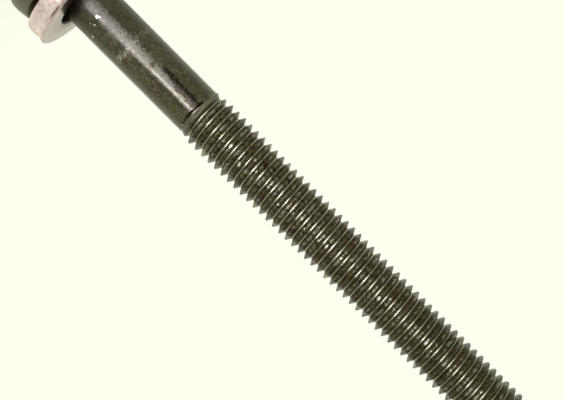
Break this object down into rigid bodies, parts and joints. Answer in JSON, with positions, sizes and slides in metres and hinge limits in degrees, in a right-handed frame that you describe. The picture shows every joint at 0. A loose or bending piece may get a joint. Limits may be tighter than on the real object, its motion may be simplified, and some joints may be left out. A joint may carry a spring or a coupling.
{
  "type": "cylinder head bolt",
  "caption": "Long flanged hexagon-head bolt with a plain reduced shank, a rolled metric thread to the tip and a thick loose washer under the head.",
  "frame": {"origin": "centre of the flat face of the hexagon head, on the ground that the bolt stands on", "axes": "+Z runs along the bolt's axis from its head to its tip and is up, because the bolt stands on its head; +Y and -Y point at flats of the hexagon"},
  "size_m": [0.017, 0.017, 0.0995],
  "materials": {
    "black_oxide": "black oxide over rolled steel, oiled and worn to a dull brownish olive, satin",
    "zinc_plate": "dull pale zinc plate, scuffed, with brown dirt along its edges"
  },
  "bodies": {
    "root": {"bolt": "black_oxide", "washer": "zinc_plate"}
  },
  "joints": []
}
